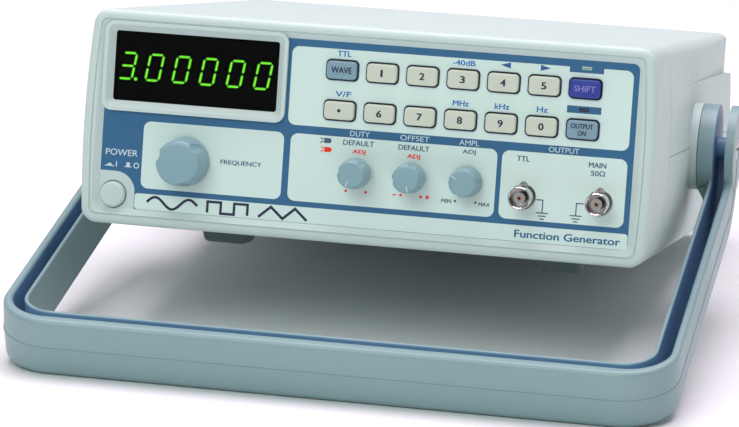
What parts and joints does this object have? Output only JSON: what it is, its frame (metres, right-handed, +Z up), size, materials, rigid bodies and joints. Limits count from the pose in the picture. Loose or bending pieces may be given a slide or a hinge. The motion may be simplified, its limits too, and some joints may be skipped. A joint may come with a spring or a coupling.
{
  "type": "function generator",
  "caption": "Bench function generator with display, keypad, knobs, bayonet sockets and a turning carrying handle that props up its front.",
  "frame": {"origin": "on the bench, below the middle of the bounding box in the working stance", "axes": "+X to the right seen from the front, +Y to the rear, +Z up"},
  "size_m": [0.295, 0.3638, 0.147],
  "materials": {
    "case_plastic": "fine moulded texture",
    "label_film": "printed satin film",
    "window_pane": "smoked clear acrylic",
    "display_body": "matt",
    "board": "solder resist",
    "switch_plastic": "moulded",
    "lamp": "unlit lens",
    "key_cream": "satin",
    "key_slate": "satin",
    "key_blue": "satin",
    "knob_plastic": "satin moulded",
    "button_plastic": "satin",
    "rod_plastic": "moulded",
    "shaft_steel": "turned",
    "nickel": "nickel plate",
    "insulator": "moulded",
    "contact": "plated",
    "inlet_plastic": "moulded",
    "capacitor_sleeve": "shrink sleeve",
    "heatsink": "extruded",
    "core_steel": "laminated",
    "coil_tape": "polyester tape",
    "rear_paint": "powder coat",
    "foot_rubber": "moulded",
    "handle_plastic": "satin moulded",
    "screw_steel": "zinc plate",
    "bush_brass": "turned"
  },
  "bodies": {
    "root": {"top_cover": "case_plastic", "bottom_case": "case_plastic", "front_bezel": "case_plastic", "front_label": "label_film", "display_window": "window_pane", "display_module": "display_body", "front_board": "board", "key_switches": "switch_plastic", "indicator_leds": "lamp", "encoder_body": "switch_plastic", "ampl_pot": "switch_plastic", "duty_pot": "switch_plastic", "offset_pot": "switch_plastic", "ttl_jack": "nickel", "main_jack": "nickel", "jack_insulators": "insulator", "jack_contacts": "contact", "power_switch": "switch_plastic", "main_board": "board", "capacitors": "capacitor_sleeve", "logic_chips": "switch_plastic", "output_heatsink": "heatsink", "transformer_core": "core_steel", "transformer_coil": "coil_tape", "rear_panel": "rear_paint", "inlet_pins": "contact", "mains_inlet": "inlet_plastic", "feet": "foot_rubber", "pivot_bushes": "bush_brass", "pivot_screws": "screw_steel", "case_screws": "screw_steel", "chassis_screws": "screw_steel"},
    "wave_key": {"wave_key": "key_slate"},
    "key_1": {"key_1": "key_cream"},
    "key_2": {"key_2": "key_cream"},
    "key_3": {"key_3": "key_cream"},
    "key_4": {"key_4": "key_cream"},
    "key_5": {"key_5": "key_cream"},
    "shift_key": {"shift_key": "key_blue"},
    "point_key": {"point_key": "key_cream"},
    "key_6": {"key_6": "key_cream"},
    "key_7": {"key_7": "key_cream"},
    "key_8": {"key_8": "key_cream"},
    "key_9": {"key_9": "key_cream"},
    "key_0": {"key_0": "key_cream"},
    "output_key": {"output_key": "key_slate"},
    "frequency_knob": {"frequency_knob": "knob_plastic", "frequency_shaft": "shaft_steel"},
    "ampl_knob": {"ampl_knob": "knob_plastic", "ampl_shaft": "shaft_steel"},
    "duty_slider": {"duty_slider": "switch_plastic"},
    "duty_knob": {"duty_knob": "knob_plastic", "duty_shaft": "shaft_steel"},
    "offset_slider": {"offset_slider": "switch_plastic"},
    "offset_knob": {"offset_knob": "knob_plastic", "offset_shaft": "shaft_steel"},
    "power_button": {"power_button": "button_plastic", "power_rod": "rod_plastic"},
    "fuse_drawer": {"fuse_drawer": "inlet_plastic"},
    "handle": {"handle": "handle_plastic"}
  },
  "joints": [
    {"name": "wave_key_press", "type": "slide", "parent": "root", "child": "wave_key", "axis": [0, 0.9874, -0.1582], "range_m": [0, 0.001], "stiffness_N_per_m": 800, "springref_m": -0.0006},
    {"name": "key_1_press", "type": "slide", "parent": "root", "child": "key_1", "axis": [0, 0.9874, -0.1582], "range_m": [0, 0.001], "stiffness_N_per_m": 800, "springref_m": -0.0006},
    {"name": "key_2_press", "type": "slide", "parent": "root", "child": "key_2", "axis": [0, 0.9874, -0.1582], "range_m": [0, 0.001], "stiffness_N_per_m": 800, "springref_m": -0.0006},
    {"name": "key_3_press", "type": "slide", "parent": "root", "child": "key_3", "axis": [0, 0.9874, -0.1582], "range_m": [0, 0.001], "stiffness_N_per_m": 800, "springref_m": -0.0006},
    {"name": "key_4_press", "type": "slide", "parent": "root", "child": "key_4", "axis": [0, 0.9874, -0.1582], "range_m": [0, 0.001], "stiffness_N_per_m": 800, "springref_m": -0.0006},
    {"name": "key_5_press", "type": "slide", "parent": "root", "child": "key_5", "axis": [0, 0.9874, -0.1582], "range_m": [0, 0.001], "stiffness_N_per_m": 800, "springref_m": -0.0006},
    {"name": "shift_key_press", "type": "slide", "parent": "root", "child": "shift_key", "axis": [0, 0.9874, -0.1582], "range_m": [0, 0.001], "stiffness_N_per_m": 800, "springref_m": -0.0006},
    {"name": "point_key_press", "type": "slide", "parent": "root", "child": "point_key", "axis": [0, 0.9874, -0.1582], "range_m": [0, 0.001], "stiffness_N_per_m": 800, "springref_m": -0.0006},
    {"name": "key_6_press", "type": "slide", "parent": "root", "child": "key_6", "axis": [0, 0.9874, -0.1582], "range_m": [0, 0.001], "stiffness_N_per_m": 800, "springref_m": -0.0006},
    {"name": "key_7_press", "type": "slide", "parent": "root", "child": "key_7", "axis": [0, 0.9874, -0.1582], "range_m": [0, 0.001], "stiffness_N_per_m": 800, "springref_m": -0.0006},
    {"name": "key_8_press", "type": "slide", "parent": "root", "child": "key_8", "axis": [0, 0.9874, -0.1582], "range_m": [0, 0.001], "stiffness_N_per_m": 800, "springref_m": -0.0006},
    {"name": "key_9_press", "type": "slide", "parent": "root", "child": "key_9", "axis": [0, 0.9874, -0.1582], "range_m": [0, 0.001], "stiffness_N_per_m": 800, "springref_m": -0.0006},
    {"name": "key_0_press", "type": "slide", "parent": "root", "child": "key_0", "axis": [0, 0.9874, -0.1582], "range_m": [0, 0.001], "stiffness_N_per_m": 800, "springref_m": -0.0006},
    {"name": "output_key_press", "type": "slide", "parent": "root", "child": "output_key", "axis": [0, 0.9874, -0.1582], "range_m": [0, 0.001], "stiffness_N_per_m": 800, "springref_m": -0.0006},
    {"name": "frequency_turn", "type": "hinge", "parent": "root", "child": "frequency_knob", "pos_m": [-0.079, -0.1154, 0.0838], "axis": [0, 0.9874, -0.1582], "continuous": true},
    {"name": "ampl_turn", "type": "hinge", "parent": "root", "child": "ampl_knob", "pos_m": [0.0459, -0.11519, 0.08508], "axis": [0, 0.9874, -0.1582], "range_deg": [-90, 210]},
    {"name": "duty_pull", "type": "slide", "parent": "root", "child": "duty_slider", "axis": [0, 0.9874, -0.1582], "range_m": [0, 0.004]},
    {"name": "duty_turn", "type": "hinge", "parent": "duty_slider", "child": "duty_knob", "pos_m": [-0.0021, -0.11519, 0.08508], "axis": [0, 0.9874, -0.1582], "range_deg": [-190, 110]},
    {"name": "offset_pull", "type": "slide", "parent": "root", "child": "offset_slider", "axis": [0, 0.9874, -0.1582], "range_m": [0, 0.004]},
    {"name": "offset_turn", "type": "hinge", "parent": "offset_slider", "child": "offset_knob", "pos_m": [0.0219, -0.11519, 0.08508], "axis": [0, 0.9874, -0.1582], "range_deg": [-158, 142]},
    {"name": "power_press", "type": "slide", "parent": "root", "child": "power_button", "axis": [0, -0.9874, 0.1582], "range_m": [0, 0.004]},
    {"name": "fuse_drawer_slide", "type": "slide", "parent": "root", "child": "fuse_drawer", "axis": [0, 0.9874, -0.1582], "range_m": [0, 0.016]},
    {"name": "handle_turn", "type": "hinge", "parent": "root", "child": "handle", "pos_m": [0, 0.02534, 0.07725], "axis": [-1, 0, 0], "range_deg": [-40, 200]}
  ]
}
